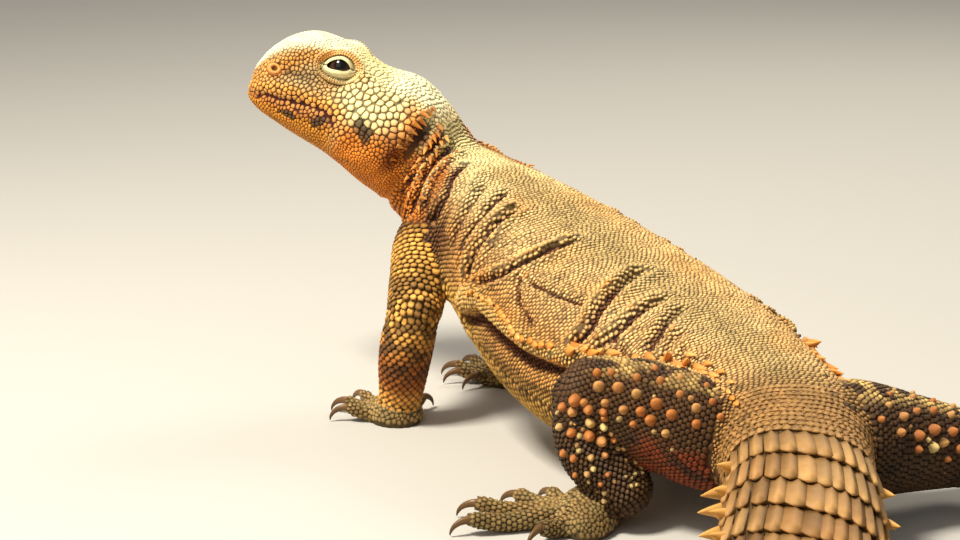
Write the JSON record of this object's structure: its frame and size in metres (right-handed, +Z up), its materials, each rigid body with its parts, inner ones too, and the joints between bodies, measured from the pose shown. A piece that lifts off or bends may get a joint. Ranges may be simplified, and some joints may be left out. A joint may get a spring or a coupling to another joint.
{
  "type": "uromastyx",
  "caption": "Spiny-tailed lizard standing with its head raised and turned to its left, chest off the floor, with a whorled spiny tail on the floor.",
  "frame": {"origin": "on the floor, under the middle of the animal's box", "axes": "-Y the way the trunk faces, +X its left side, +Z up; the head is turned towards +X and the tail curves towards +X and +Y"},
  "size_m": [0.1876, 0.306, 0.0898],
  "materials": {
    "skin_orange": "matt dry scaly skin, orange",
    "skin_pale": "matt dry scaly skin, cream to pale orange",
    "skin_brown": "matt dry scaly skin, dark brown with pale tubercles",
    "tail_scales": "matt keeled plates and spines, sandy beige",
    "claw_horn": "satin brown horn",
    "eyeball": "wet and glossy, tan iris round a dark pupil"
  },
  "bodies": {
    "root": {"head": "skin_pale", "neck": "skin_orange", "torso": "skin_orange", "tail_base": "tail_scales", "tail_middle": "tail_scales", "tail_end": "tail_scales", "upper_arm_left": "skin_orange", "forearm_left": "skin_brown", "hand_left": "skin_brown", "thigh_left": "skin_brown", "shank_left": "skin_brown", "foot_left": "skin_brown", "eye_left": "eyeball", "claw_hand_left_1": "claw_horn", "claw_hand_left_2": "claw_horn", "claw_hand_left_3": "claw_horn", "claw_hand_left_4": "claw_horn", "claw_hand_left_5": "claw_horn", "claw_foot_left_1": "claw_horn", "claw_foot_left_2": "claw_horn", "claw_foot_left_3": "claw_horn", "claw_foot_left_4": "claw_horn", "claw_foot_left_5": "claw_horn", "upper_arm_right": "skin_orange", "forearm_right": "skin_brown", "hand_right": "skin_brown", "thigh_right": "skin_brown", "shank_right": "skin_brown", "foot_right": "skin_brown", "eye_right": "eyeball", "claw_hand_right_1": "claw_horn", "claw_hand_right_2": "claw_horn", "claw_hand_right_3": "claw_horn", "claw_hand_right_4": "claw_horn", "claw_hand_right_5": "claw_horn", "claw_foot_right_1": "claw_horn", "claw_foot_right_2": "claw_horn", "claw_foot_right_3": "claw_horn", "claw_foot_right_4": "claw_horn", "claw_foot_right_5": "claw_horn"}
  },
  "joints": []
}
